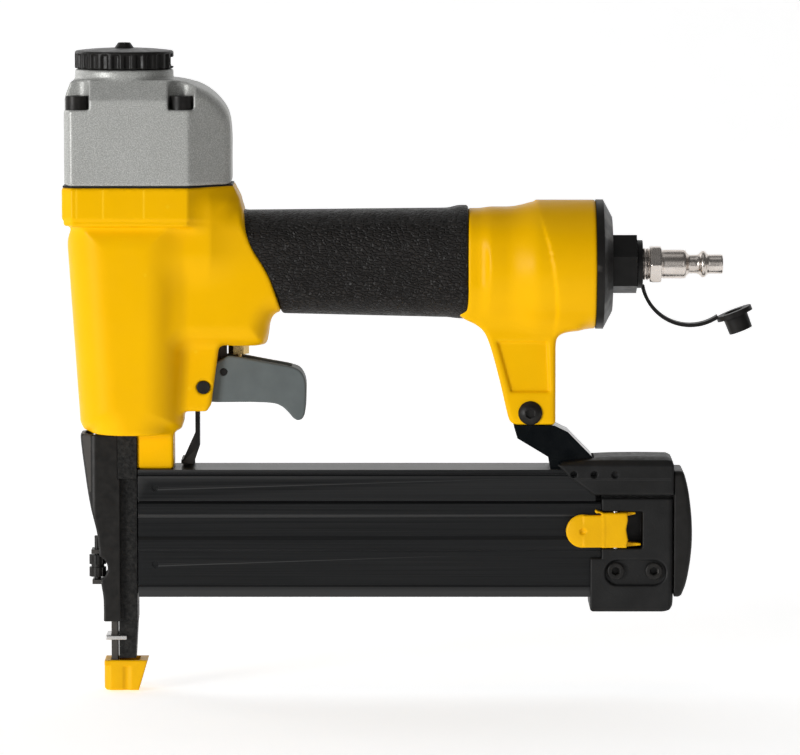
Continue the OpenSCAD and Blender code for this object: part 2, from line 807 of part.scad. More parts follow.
// The slide's section: ridged sides, the tee on top, the nail slot and the spring's channels.
module slide_section() {
    h = mag_half_y;
    side = [
        [h, mag_bottom_z], [h, 42.8], [h - 0.6, 43.1], [h - 0.6, 57.2], [h, 57.6], [h, 61.6],
        [h - 1.2, 63], [h - 1.2, 70.4], [h, 71.8], [h, 76], [h - 0.8, split_z[0]]
    ];
    difference() {
        union() {
            polygon(concat(side, [for (i = [len(side) - 1:-1:0]) [-side[i][0], side[i][1]]]));
            translate([-5, split_z[0] - 1]) square([10, 6]);
            translate([-8.5, tee_z[0] + 0.3]) square([17, tee_z[1] - tee_z[0] - 0.6]);
        }
        translate([-0.75, 40.4]) square([1.5, 60]);
        translate([-4.5, 45.4]) square([9, 11]);
        for (s = [-1, 1]) {
            translate([s * 6.2 - 3.4, 59.4]) square([6.8, 12.4]);
        }
    }
}

module tail_cap() {
    color("dimgray") difference() {
        across([-tail_half_y, tail_half_y]) polygon([
            [185.9, 33.8], [187, tail_z[0]], [216.2, tail_z[0]], [218.4, 33.7],
            [tail_x[1], 35.8], [tail_x[1], tail_z[1]], [tail_x[0], tail_z[1]],
            [tail_x[0], 54.4], [185.9, 54.4]
        ]);
        block([150, slide_end_x + gap], [-12.6, 12.6], [mag_bottom_z - 0.1, 100]);
        block([188, 206.8], [-20, -7], [58.2, 73.2]);
        for (y = [[-20, -12.2], [12.2, 20]]) {
            along_pocket(y);
        }
        for (x = [196.2, 211.4]) {
            bar_y([-20, 12], 1.65, [x, 49.2]);
        }
        bar_z([56, 75.6], 1.22, latch_pin_at);
    }
}

// The long sunk pocket that the tail's screws sit in.
module along_pocket(y) {
    across(y) round_rect([191.8, 216.2], [43.4, 53.6], 5);
}

module tail_screws() {
    color("black") for (x = [196.2, 211.4]) {
        difference() {
            union() {
                bar_y([-14, -12.2], 3.4, [x, 49.2]);
                bar_y([-13, 11.8], 1.6, [x, 49.2]);
            }
            translate([x, -14.5, 49.2]) rotate([-90, 0, 0]) cylinder(r = 1.4, h = 1.6, $fn = 6);
        }
    }
}

module rear_bumper() {
    color("black") across([-13, 13]) polygon([
        [219.35, 38.5], [222.6, 38.5], [224.3, 44], [225.6, 51], [226.4, 58], [226.7, 64],
        [226.4, 70], [225.8, 77], [224.8, 83], [223.6, 88], [222.6, 89.2], [219.35, 89.2],
        [219.6, 80], [219.35, 78.4]
    ]);
}

module pusher() {
    color("silver") {
        block([5.8, 18], [-0.6, 0.6], [44, 83.5]);
        block([6.5, 18], [-4.2, 4.2], [45.7, 56.1]);
    }
}

module pusher_spring() {
    color("silver") translate([0, 0, 50.9]) rotate([0, 90, 0])
        coil(3.4, 0.5, [18 + gap, slide_end_x - gap], 22, 8, 5);
}

module latch() {
    color("gold") difference() {
        union() {
            bar_y([-15.4, -12.9], 6.7, latch_disc);
            block([latch_disc[0], 192], [-15.4, -12.9], [58.8, 71.8]);
            block([191, 200.6], [-15.4, -9.4], [58.7, 72.7]);
        }
        bar_y([-16, -14.6], 1.4, latch_disc);
        bar_z([50, 80], 1.2 + run, latch_pin_at);
    }
}

module latch_pin() {
    color("silver") bar_z([56.1, 75.5], 1.2, latch_pin_at);
}

head_casting();
head_gasket();
head_screws();
exhaust_cap();
cap_screw();
head_valve();
head_valve_seal();
head_valve_spring();
main_housing();
cylinder_sleeve();
sleeve_rings();
bumper();
piston();
piston_ring();
driver_blade();
grip_sleeve();
end_plate();
end_plate_ring();
air_plug();
dust_cap();
trigger();
trigger_pin();
trigger_spring();
spring_pins();
trip_lever();
trip_pin();
valve_body();
valve_stem();
valve_spring();
driver_guide();
nose_cover();
nose_screws();
safety_arm();
safety_spring();
depth_wheel();
contact_foot();
foot_clip();
no_mar_tip();
magazine_rail();
rail_bracket();
bracket_cover();
leg_screw();
leg_nut();
magazine_slide();
tail_cap();
tail_screws();
rear_bumper();
pusher();
pusher_spring();
latch();
latch_pin();
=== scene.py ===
"""Looks for the pneumatic brad nailer: cast shells, grip, materials, studio and camera."""
import json
import math

import bpy
import numpy as np
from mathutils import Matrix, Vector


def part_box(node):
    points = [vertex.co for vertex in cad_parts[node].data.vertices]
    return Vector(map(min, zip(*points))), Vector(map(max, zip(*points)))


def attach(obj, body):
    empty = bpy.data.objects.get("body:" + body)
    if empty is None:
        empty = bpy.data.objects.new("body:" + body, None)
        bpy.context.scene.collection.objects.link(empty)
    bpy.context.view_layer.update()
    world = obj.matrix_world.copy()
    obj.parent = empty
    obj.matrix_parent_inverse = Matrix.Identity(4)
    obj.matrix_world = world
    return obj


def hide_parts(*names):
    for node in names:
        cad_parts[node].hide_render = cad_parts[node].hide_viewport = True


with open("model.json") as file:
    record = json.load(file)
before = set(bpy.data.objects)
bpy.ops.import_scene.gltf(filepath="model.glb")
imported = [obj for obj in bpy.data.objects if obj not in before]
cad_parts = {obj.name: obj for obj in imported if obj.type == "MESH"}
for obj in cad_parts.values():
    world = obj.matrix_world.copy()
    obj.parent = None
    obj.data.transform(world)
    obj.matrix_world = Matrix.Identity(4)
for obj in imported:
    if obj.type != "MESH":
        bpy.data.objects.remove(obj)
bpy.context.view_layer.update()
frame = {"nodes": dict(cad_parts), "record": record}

import openvdb
from mathutils import Vector

MM = 0.001

# ---------------------------------------------------------------- places, in millimetres

SEAM_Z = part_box("head_casting")[0][2] / MM
COLLAR_TOP_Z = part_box("main_housing")[1][2] / MM
HEAD_TOP_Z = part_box("head_casting")[1][2] / MM
COLLAR_Z = 188.8
TOWER_Z = 104.0
MAG_TOP_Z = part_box("magazine_rail")[1][2] / MM
INLET_Z = (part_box("end_plate")[0][2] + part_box("end_plate")[1][2]) / 2 / MM
BARREL_R = (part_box("end_plate")[1][2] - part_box("end_plate")[0][2]) / 2 / MM
BARREL_END_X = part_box("main_housing")[1][0] / MM
GRIP_END_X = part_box("grip_sleeve")[1][0] / MM
GRIP_LOW_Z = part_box("grip_sleeve")[0][2] / MM
GRIP_TOP_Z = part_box("grip_sleeve")[1][2] / MM
GRIP_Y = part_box("grip_sleeve")[1][1] / MM
HEAD_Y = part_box("head_casting")[1][1] / MM
HEAD_X = (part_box("head_casting")[0][0] / MM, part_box("head_casting")[1][0] / MM)
SCREW_X = (-17.9, 23.4)
SCREW_Y = 20.6
SCREW_SEAT_Z = 234.0
VALVE_X = (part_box("valve_body")[0][0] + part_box("valve_body")[1][0]) / 2 / MM
VALVE_SEAT_Z = 139.6
PIVOT = (31.5, 122.8)
LEG_SCREW = (161.9, 112.4)
LEG_Y = 11.0
CAP_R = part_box("exhaust_cap")[1][0] / MM
CAP_Z = (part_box("exhaust_cap")[0][2] / MM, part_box("exhaust_cap")[1][2] / MM)
SPRING_PIN = (39.5, 128.6)
TRIP_PIN = (57.0, 127.2)
TAIL_Y = 14.2
TAIL_SCREWS = ((196.2, 49.2), (211.4, 49.2))
LATCH_PIN = (196.0, -12.0)
NOSE_LOW_Z = 28.4

# The front edge of the rubber grip, from top to bottom, in X and Z.
GRIP_EDGE = [
    (45.5, 196.5), (45.7, 193.0), (47.4, 186.6), (51.0, 178.8), (55.0, 172.6),
    (58.2, 166.6), (60.6, 159.8), (62.4, 153.6), (64.0, 147.0),
]


# ---------------------------------------------------------------- signed distance fields

class Grid:
    """Sample places for a signed distance field, in millimetres."""

    def __init__(self, low, high, voxel):
        self.low = np.array(low, float) - 3 * voxel
        self.voxel = voxel
        count = np.ceil((np.array(high) + 3 * voxel - self.low) / voxel).astype(int) + 1
        steps = [
            (self.low[i] + voxel * np.arange(count[i])).astype(np.float32) for i in range(3)
        ]
        self.x = steps[0][:, None, None]
        self.y = steps[1][None, :, None]
        self.z = steps[2][None, None, :]
        self.shape = tuple(count)

    def mesh(self, name, field):
        """The field's zero surface as a smooth-shaded object, in metres."""
        full = np.ascontiguousarray(np.broadcast_to(field, self.shape), dtype=np.float32)
        limit = 3 * self.voxel
        volume = openvdb.FloatGrid(limit)
        volume.copyFromArray(np.clip(full, -limit, limit))
        points, quads = volume.convertToQuads(0.0)
        points = (points * self.voxel + self.low) * MM
        mesh = bpy.data.meshes.new(name)
        mesh.from_pydata(points.tolist(), [], quads[:, ::-1].tolist())
        mesh.polygons.foreach_set("use_smooth", [True] * len(mesh.polygons))
        mesh.update()
        piece = bpy.data.objects.new(name, mesh)
        bpy.context.scene.collection.objects.link(piece)
        return piece


def outline(u, v, points):
    """Signed distance to a closed outline, in the plane of u and v."""
    p = np.array(points, np.float32)
    near = None
    inside = np.zeros(np.broadcast(u, v).shape, bool)
    for a, b in zip(p, np.roll(p, -1, axis=0)):
        edge = b - a
        if not edge.any():
            continue
        along = ((u - a[0]) * edge[0] + (v - a[1]) * edge[1]) / (edge @ edge)
        along = np.clip(along, 0, 1)
        far = (u - a[0] - along * edge[0]) ** 2 + (v - a[1] - along * edge[1]) ** 2
        near = far if near is None else np.minimum(near, far)
        if a[1] != b[1]:
            between = (v >= min(a[1], b[1])) & (v < max(a[1], b[1]))
            cross = a[0] + (v - a[1]) * edge[0] / edge[1]
            inside = inside ^ (between & (u < cross))
    distance = np.sqrt(near)
    return np.where(inside, -distance, distance)


def both(a, b, r):
    """The overlap of two fields, with its shared edge rounded to radius r."""
    if r <= 0:
        return np.maximum(a, b)
    u = a + r
    v = b + r
    outside = np.sqrt(np.maximum(u, 0) ** 2 + np.maximum(v, 0) ** 2)
    return np.minimum(np.maximum(u, v), 0) + outside - r


def slab(v, low, high):
    """Between two parallel faces."""
    return np.maximum(low - v, v - high)


def rect(u, v, ulim, vlim, r):
    """A rectangle with round corners."""
    return both(slab(u, *ulim), slab(v, *vlim), r)


def join(a, b, k):
    """Union of two fields, filleted over a width k."""
    if k <= 0:
        return np.minimum(a, b)
    h = np.maximum(k - np.abs(a - b), 0) / k
    return np.minimum(a, b) - h * h * k / 4


def cut(a, b, k=0.0):
    """The first field less the second, with a soft edge of width k."""
    return -join(-a, b, k)


def rod(u, v, r):
    """A round bar through the plane of u and v."""
    return np.sqrt(u * u + v * v) - r


def hexagon(u, v, half):
    """A hexagonal bar, by half its width across flats; its corners lie along v."""
    tilted = 0.8660254 * np.abs(v) + 0.5 * np.abs(u)
    return np.maximum(np.abs(u), tilted) - half


def curve(points, steps=6):
    """A smooth line through given points (Catmull-Rom)."""
    p = [points[0], *points, points[-1]]
    line = []
    for i in range(1, len(p) - 2):
        a, b, c, d = (np.array(q) for q in p[i - 1:i + 3])
        for t in np.arange(steps) / steps:
            line.append(0.5 * (2 * b + (c - a) * t + (2 * a - 5 * b + 4 * c - d) * t ** 2
                               + (3 * b - a - 3 * c + d) * t ** 3))
    line.append(np.array(points[-1]))
    return [tuple(q) for q in line]


# ---------------------------------------------------------------- cast shells

def head_plan(x, y):
    """The outline that the head and the housing's collar share, seen from above."""
    front, rear = HEAD_X
    side = HEAD_Y
    points = [
        (front, -side + 4.5), (front + 4, -side), (26.0, -side), (rear, -side + 14.5),
        (rear, side - 14.5), (26.0, side), (front + 4, side), (front, side - 4.5),
    ]
    return outline(x, y, points)


def make_head():
    """Cast head: chamfered block, rear bulge, sloped shoulders, round neck, screw corners."""
    g = Grid((HEAD_X[0], -HEAD_Y, SEAM_Z), (HEAD_X[1], HEAD_Y, HEAD_TOP_Z), 0.5)
    x, y, z = g.x, g.y, g.z
    side = curve([
        (-24.0, 236.0), (-23.9, 238.4), (-22.0, 242.0), (-19.6, 245.4), (-12.0, 247.0),
        (0.0, 247.4), (12.0, 247.2), (19.8, 246.0), (29.0, 243.4), (35.0, 240.2),
        (39.8, 235.4), (42.6, 230.0), (43.8, 223.0), (43.8, 214.0),
    ])
    side = [(-24.0, 200.0), *side, (43.8, 200.0)]
    block = both(head_plan(x, y) + 0.0 * z, slab(z, SEAM_Z, 260), 1.2)
    block = -join(-block, -outline(x, z, side), 4.0)
    shoulder = outline(y, z, [
        (-HEAD_Y, 190), (-HEAD_Y, 237.7), (-19.0, 245.6), (19.0, 245.6), (HEAD_Y, 237.7),
        (HEAD_Y, 190),
    ])
    block = -join(-block, -shoulder, 1.2)
    neck = both(rod(x, y, 19.6), slab(z, 235, HEAD_TOP_Z), 0.8)
    head = join(block, neck, 1.2)
    for sx in SCREW_X:
        for s in (-1, 1):
            pocket = rod(x - sx, y - s * SCREW_Y, 5.0)
            open_side = both(slab(x - sx, -5.0, 5.0), -s * (y - s * SCREW_Y), 0)
            if sx < 0:
                open_side = join(open_side, both(slab(s * y, SCREW_Y - 5.0, 60), x - sx, 0), 0)
            pocket = both(join(pocket, open_side, 0), SCREW_SEAT_Z - z, 0.8)
            head = cut(head, pocket, 1.0)
    cavity = both(rod(x, y, 17.0), slab(z, 190, 231), 0)
    vent = both(rod(x, y, 12.0), slab(z, 236, 260), 0)
    stud = both(rod(x, y, 3.0), slab(z, 236, 249.0), 0)
    head = cut(head, cavity)
    head = join(cut(head, vent), stud, 0)
    return g.mesh("head_shell", head)


def make_housing():
    """Cast housing: collar, tower, handle root, barrel, leg and trigger ears in one skin."""
    g = Grid((-24.2, -HEAD_Y, MAG_TOP_Z), (BARREL_END_X, HEAD_Y, COLLAR_TOP_Z), 0.7)
    x, y, z = g.x, g.y, g.z
    collar = both(head_plan(x, y) + 0.0 * z, slab(z, COLLAR_Z + 1.4, COLLAR_TOP_Z), 0.7)
    ledge = both(head_plan(x, y) + 0.7 + 0.0 * z, slab(z, COLLAR_Z - 0.9, 200), 0.7)
    collar = join(collar, ledge, 0.3)
    tower = both(
        outline(x, z, [(-23.4, 194), (25.0, 194), (23.5, 108.6), (22.6, 105.8), (20.0, 104.3),
                       (18.0, 90.0), (-12.0, 90.0), (-14.0, 104.3), (-16.6, 105.6),
                       (-18.0, 108.4)]),
        outline(y, z, [(-25.4, 194), (25.4, 194), (19.4, 90), (-19.4, 90)]), 16.0)
    foot = slab(z, TOWER_Z, 300)
    tower = both(tower, foot, 1.0)
    body_side = curve([
        (44.2, 200.0), (44.6, 195.5), (46.6, 193.6), (60.0, 193.0), (75.0, 193.0),
    ]) + curve([
        (75.0, 154.0), (66.0, 153.4), (60.4, 152.2), (58.0, 148.4), (57.0, 144.0),
        (55.6, 140.6), (53.0, VALVE_SEAT_Z),
    ]) + [(14.0, VALVE_SEAT_Z), (14.0, 200.0)]
    body = both(outline(x, z, body_side), slab(y, -17.5, 17.5), 9.0)
    boss = both(rod(x - VALVE_X - 1.0, y, 9.6), slab(z, VALVE_SEAT_Z, 160), 1.2)
    body = join(body, boss, 4.0)
    clear_of_grip = outline(x, z, [*curve(GRIP_EDGE), (57.0, 139.0), (0.0, 139.0), (0.0, 200.0)])
    body = both(body, clear_of_grip + 0.15, 0.6)
    rear_block = both(outline(x, y, [(10, -19), (34, -19), (43.6, -12), (43.6, 12), (34, 19),
                                     (10, 19)]) + 0.0 * z, slab(z, 172, 200), 6.0)
    solid = join(tower, collar, 3.0)
    solid = join(solid, join(body, rear_block, 12.0), 5.0)
    ears = both(outline(x, z, [(12, 150), (39.4, 150), (37.8, VALVE_SEAT_Z), (34.6, 115.8),
                               (32.8, 113), (12, 113)]), slab(y, -12, 12), 1.6)
    solid = join(solid, ears, 3.0)
    nose_boss = both(slab(y, -10, 10), rect(x, z, (4.8, 19.4), (MAG_TOP_Z, 110), 1.0), 1.0)
    solid = join(solid, nose_boss, 2.0)
    tube = both(rect(y, z, (-15.5, 15.5), (155.5, 190.5), 12.0), slab(x, 40, 160), 0)
    solid = join(solid, tube, 0)
    root = both(rect(y, z, (-GRIP_Y, GRIP_Y), (151.2, 193.4), 13.5), slab(x, GRIP_END_X, 168), 0.4)
    shift = (x - 152.0) / 14.0
    ease = np.clip(shift, 0, 1)
    ease = ease * ease * (3 - 2 * ease)
    flare = both(rod(y, z - INLET_Z, 20.5 + (BARREL_R - 0.9 - 20.5) * ease), slab(x, 146, 182), 0.5)
    barrel = both(rod(y, z - INLET_Z, BARREL_R - 0.1), slab(x, 160, BARREL_END_X), 0.8)
    step = outline(x, z, [
        *curve([(162.8, 200.0), (166.0, 190.0), (169.6, 178.0), (171.8, 164.0), (172.6, 152.0),
                (172.6, 140.0)]), (240.0, 140.0), (240.0, 200.0)])
    rear = join(root, flare, 6.0)
    rear = join(rear, both(barrel, step, 0.4), 0.2)
    leg_side = curve([
        (132.0, 152.5), (137.4, 150.0), (142.8, 145.6), (146.0, 138.6), (149.6, 125.4),
        (152.9, 111.4), (154.4, 108.4), (156.6, 107.6),
    ]) + [(171.2, 107.6), (172.0, 108.6), (172.0, 139.0)] + curve([
        (172.0, 139.0), (172.6, 143.0), (175.4, 145.6), (180.0, 147.0),
    ]) + [(180.0, 160.0), (132.0, 160.0)]
    leg = both(outline(x, z, leg_side), slab(y, -LEG_Y, LEG_Y), 1.6)
    rear = join(rear, leg, 7.0)
    pocket = outline(x, z, [(148.6, 141.0), (168.8, 141.0), (169.6, 120.8), (154.2, 120.8)])
    for s in (-1, 1):
        rear = cut(rear, both(pocket, LEG_Y - 1.3 - s * y, 0.8), 1.0)
    solid = join(solid, rear, 0)
    solid = cut(solid, both(slab(x, 25.6, 41), both(slab(y, -8.4, 8.4), z - VALVE_SEAT_Z, 0), 0))
    solid = cut(solid, both(slab(x, 36, 41), both(slab(y, -3.6, 3.6), z - 146, 0), 0))
    solid = cut(solid, both(rod(x, y, 18.6), slab(z, 109, 300), 0))
    solid = cut(solid, both(rod(x, y, 2.6), z - 120, 0))
    solid = cut(solid, both(rod(x - VALVE_X, y, 4.02), z - 160, 0))
    solid = cut(solid, rod(x - PIVOT[0], z - PIVOT[1], 2.62))
    solid = cut(solid, rod(x - LEG_SCREW[0], z - LEG_SCREW[1], 2.6))
    solid = cut(solid, both(slab(y, -2.35, 2.35), both(slab(x, 150, 180), z - 119, 0), 0))
    hollow = both(rect(y, z, (-12, 12), (158.5, 186.5), 9.0), slab(x, 14, 182), 0)
    solid = cut(solid, hollow)
    solid = cut(solid, both(rod(y, z - INLET_Z, 22.1), slab(x, 167, 300), 0))
    return g.mesh("housing_shell", solid)


def make_grip():
    """Rubber sleeve: round-cornered tube with lips at both ends and an S-shaped front edge."""
    g = Grid((44.0, -GRIP_Y, GRIP_LOW_Z), (GRIP_END_X, GRIP_Y, GRIP_TOP_Z), 0.5)
    x, y, z = g.x, g.y, g.z
    along = np.clip((x - 48.0) / (GRIP_END_X - 48.0), 0, 1)
    lip = np.clip((x - 128.0) / 6.0, 0, 1)
    lip = lip * lip * (3 - 2 * lip)
    front = np.clip((50.0 - x) / 5.0, 0, 1) ** 2
    top = 192.8 + 0.9 * along + 1.0 * lip + 1.2 * front
    low = 152.2 - 2.1 * along - 0.4 * lip
    middle = (top + low) / 2
    tall = (top - low) / 2
    wide = GRIP_Y - 0.5 + 0.3 * lip + 0.2 * front
    skin = both(np.abs(y) - wide, np.abs(z - middle) - tall, 14.0)
    edge = outline(x, z, [*curve(GRIP_EDGE), (150.0, 140.0), (150.0, 205.0)])
    skin = both(skin, edge, 1.0)
    skin = both(skin, x - GRIP_END_X + 0.05, 1.0)
    bore = rect(y, z, (-15.4, 15.4), (155.6, 190.4), 12.0)
    return g.mesh("grip_rubber", cut(skin, bore))


def make_exhaust_cap():
    """Moulded cap: grip grooves round the rim, a shallow dome and a vent at the back."""
    g = Grid((-CAP_R, -CAP_R, CAP_Z[0]), (CAP_R, CAP_R, CAP_Z[1]), 0.3)
    x, y, z = g.x, g.y, g.z
    out = np.sqrt(x * x + y * y)
    wave = np.cos(26 * np.arctan2(y, x))
    groove = np.clip(0.55 + 0.9 * wave, 0, 1)
    below = np.clip((CAP_Z[1] - 1.9 - z) / 0.5, 0, 1)
    rim = out - CAP_R + 0.95 * groove * below
    dome = z - (CAP_Z[1] - 1.1 * (np.clip(out - 4, 0, 30) / (CAP_R - 4)) ** 2)
    cap = both(both(rim, dome, 0.7), CAP_Z[0] - z, 0.3)
    cap = cut(cap, both(out - 15.5, z - CAP_Z[0] - 4.4, 0))
    cap = cut(cap, out - 2.3 + 0.0 * z)
    vent = both(slab(x, 10, 25), rect(y, z, (-7, 7), (CAP_Z[0] + 0.8, CAP_Z[0] + 4.4), 0.8), 0)
    return g.mesh("exhaust_cap_moulded", cut(cap, vent, 0.3))


def make_trigger():
    """Moulded trigger: a channel with two side plates, hubs and a round finger hook."""
    g = Grid((25.8, -8.0, 109.0), (72.6, 8.0, 135.1), 0.3)
    x, y, z = g.x, g.y, g.z
    side = [(30.0, 132.0), (36.6, 132.6), (40.4, 134.6), (41.4, 135.0), (43.0, 135.0)] + curve([
        (46.6, 134.5), (57.0, 132.5), (66.4, 130.7), (70.2, 128.9), (72.2, 124.9),
        (72.4, 119.0), (72.0, 112.6), (71.0, 110.0), (69.2, 109.2), (67.4, 110.0),
        (65.0, 112.7), (62.4, 114.9), (58.6, 116.1), (49.8, 116.5),
    ]) + [(36.6, 116.4), (30.0, 116.8)]
    body = join(outline(x, z, side), rod(x - PIVOT[0], z - PIVOT[1], 5.6), 1.0)
    trigger = both(body, np.abs(y) - 8.0, 0.8)
    hollow = outline(x, z, [
        (15, 150), (66, 150), (66, 131.0), (68.8, 127.4), (69.9, 122.6), (69.2, 114.0),
        (68.4, 113.2), (64.6, 117.2), (58.6, 118.3), (40, 118.5), (40, 100), (15, 100),
    ])
    trigger = cut(trigger, both(hollow, np.abs(y) - 5.5, 0.5), 0.4)
    trigger = cut(trigger, rod(x - PIVOT[0], z - PIVOT[1], 2.66))
    trigger = cut(trigger, rod(x - SPRING_PIN[0], z - SPRING_PIN[1], 1.45))
    trip = both(rod(x - TRIP_PIN[0], z - TRIP_PIN[1], 1.26), np.abs(y) - 7.26, 0)
    return g.mesh("trigger_moulded", cut(trigger, trip))


def make_tip():
    """Soft nose tip: plain upper lip, hollowed sides and a sloped back."""
    g = Grid((-8.8, -7.3, 0.0), (8.6, 7.3, 12.2), 0.25)
    x, y, z = g.x, g.y, g.z
    side = outline(x, z, [(-8.8, 12.2), (-8.8, 0.9), (-8.0, 0), (5.0, 0), (8.6, 12.2)])
    tip = both(side, np.abs(y) - 7.3, 0.6)
    for s in (-1, 1):
        tip = cut(tip, both(rod(x + 9.2, y - s * 8.4, 2.9), z - 9.8, 0.3), 0.5)
        tip = cut(tip, both(rod(x - 0.2, y - s * 8.6, 1.9), z - 9.8, 0.3), 0.6)
    slot = both(rect(x, y, (-6.1, 5.25), (-5.45, 5.45), 0.2), 3.5 - z, 0)
    tip = cut(tip, slot, 0.2)
    return g.mesh("tip_moulded", cut(tip, rect(x, y, (-1.5, 1.5), (-2, 2), 0.2) + 0.0 * z))


def make_latch():
    """Thumb latch: a domed disc with a dimple, a neck, a broad heel and two prongs."""
    g = Grid((176.0, -15.45, 58.6), (207.0, -9.3, 74.4), 0.25)
    x, y, z = g.x, g.y, g.z
    away = rod(x - 182.9, z - 65.3, 0)
    face = -15.4 + 0.02 * away * away * (away < 7)
    disc = both(away - 6.7 + 0.0 * y, np.maximum(face - y, y + 12.9), 0.7)
    neck = both(rect(x, z, (182.9, 192), (58.8, 71.8), 0.6), slab(y, -15.4, -12.9), 0.7)
    heel = outline(x, z, [(190.6, 58.7), (200.4, 58.7), (200.9, 62), (200.2, 66), (200.9, 70),
                          (200.6, 72.7), (191.4, 72.7), (188.0, 74.0), (187.6, 73.2), (190.6, 70)])
    heel = both(heel, slab(y, -15.4, -9.4), 0.7)
    heel = cut(heel, rod(x - 189.2, z - 71.2, 1.5) + 0.0 * y, 0.3)
    latch = join(join(disc, neck, 0.3), heel, 0.5)
    for prong in ([(198, 70.6), (198, 72.8), (204.0, 72.7), (204.0, 72.0)],
                  [(198, 58.7), (198, 61.0), (206.2, 60.2), (206.2, 59.4)]):
        latch = join(latch, both(outline(x, z, prong), slab(y, -12.6, -9.7), 0.2), 0.3)
    latch = cut(latch, np.sqrt((x - 182.9) ** 2 + (y + 15.9) ** 2 + (z - 65.3) ** 2) - 1.5, 0.4)
    latch = cut(latch, rod(x - LATCH_PIN[0], y - LATCH_PIN[1], 1.28) + 0.0 * z)
    return g.mesh("latch_moulded", latch)


def make_tail():
    """Tail cap of the sliding magazine: round corners, latch window, sunk screw pockets."""
    g = Grid((185.8, -TAIL_Y, 32.7), (219.4, TAIL_Y, 78.5), 0.35)
    x, y, z = g.x, g.y, g.z
    side = outline(x, z, curve([(215.0, 32.8), (217.6, 33.5), (218.9, 35.3), (219.3, 38.0)], 4) + [
        (219.3, 78.4), (190.4, 78.4), (190.4, 54.4), (185.9, 54.4), (185.9, 33.6), (186.7, 32.8)])
    plan = outline(x, y, [(180, -TAIL_Y), (217.4, -TAIL_Y), (219.3, 2.2 - TAIL_Y),
                          (219.3, TAIL_Y - 2.2), (217.4, TAIL_Y), (180, TAIL_Y)])
    tail = both(both(side, plan, 0.8), np.abs(y) - TAIL_Y, 1.0)
    tail = cut(tail, both(slab(x, 150, 190.3), both(np.abs(y) - 12.6, 38.5 - z, 0), 0), 0.2)
    window = rect(x, z, (188, 206.8), (58.2, 73.2), 0.8)
    tail = cut(tail, both(window, y + 7.0, 0), 0.5)
    for s in (-1, 1):
        pocket = both(rect(x, z, (191.8, 216.2), (43.4, 53.6), 5.0), 12.2 - s * y, 0.3)
        rim = both(rect(x, z, (191.4, 216.6), (43.0, 54.0), 5.4), 13.8 - s * y, 0)
        tail = cut(cut(tail, pocket, 0.4), rim, 0.4)
    for sx, sz in TAIL_SCREWS:
        tail = cut(tail, both(rod(x - sx, z - sz, 1.7), y - 12.2, 0))
    tail = cut(tail, both(rod(x - LATCH_PIN[0], y - LATCH_PIN[1], 1.26), slab(z, 56, 75.6), 0))
    return g.mesh("tail_moulded", tail)


def make_bracket_cover():
    """Moulded cover over the bracket's foot and the rail's end, with a crowned top."""
    g = Grid((172.6, -TAIL_Y, 79.4), (219.4, TAIL_Y, 95.3), 0.35)
    x, y, z = g.x, g.y, g.z
    side = outline(x, z, [
        (172.8, 92.0), (172.8, 91.6), (177.0, 87.3), (187.5, 79.6), (219.3, 79.6),
        (219.3, 91.6), (218.7, 93.6), (216.8, 94.8), (205.0, 95.1), (195.0, 94.9),
        (184.0, 94.2), (176.0, 93.0)])
    end = outline(y, z, [(-TAIL_Y, 70), (TAIL_Y, 70), (TAIL_Y, 91.6), (12.6, 93.6), (8.0, 95.2),
                         (-8.0, 95.2), (-12.6, 93.6), (-TAIL_Y, 91.6)])
    cover = both(side, end, 1.2)
    cover = cut(cover, both(slab(x, 150, 188.1), both(np.abs(y) - 12.6, z - 92.05, 0), 0))
    cover = cut(cover, both(x - 187.5, np.abs(y) - 9.15, 0) + 0.0 * z)
    cover = cut(cover, both(slab(x, 180, 230), both(np.abs(y) - 9.2, z - 85, 0), 0))
    for hole in (179.2, 187.4, 195.7):
        cover = cut(cover, both(rod(x - hole, z - 88.0, 1.3), y + 12.7, 0), 0.3)
    return g.mesh("bracket_cover_moulded", cover)


def make_rear_bumper():
    """Rubber end bumper, bulging to the rear."""
    g = Grid((219.3, -13.0, 38.4), (226.8, 13.0, 89.3), 0.35)
    x, y, z = g.x, g.y, g.z
    side = outline(x, z, [(210.0, 38.5), (221.4, 38.5)] + curve([
        (222.5, 39.2), (224.3, 44.0), (225.7, 51.0), (226.5, 58.0), (226.7, 64.0),
        (226.5, 70.0), (225.8, 77.0), (224.8, 83.0), (223.4, 88.2), (222.4, 89.2)]) + [
        (210.0, 89.2)])
    bumper = both(side, np.abs(y) - 13.0, 2.2)
    return g.mesh("rear_bumper_moulded", both(bumper, 219.4 - x, 0.2))


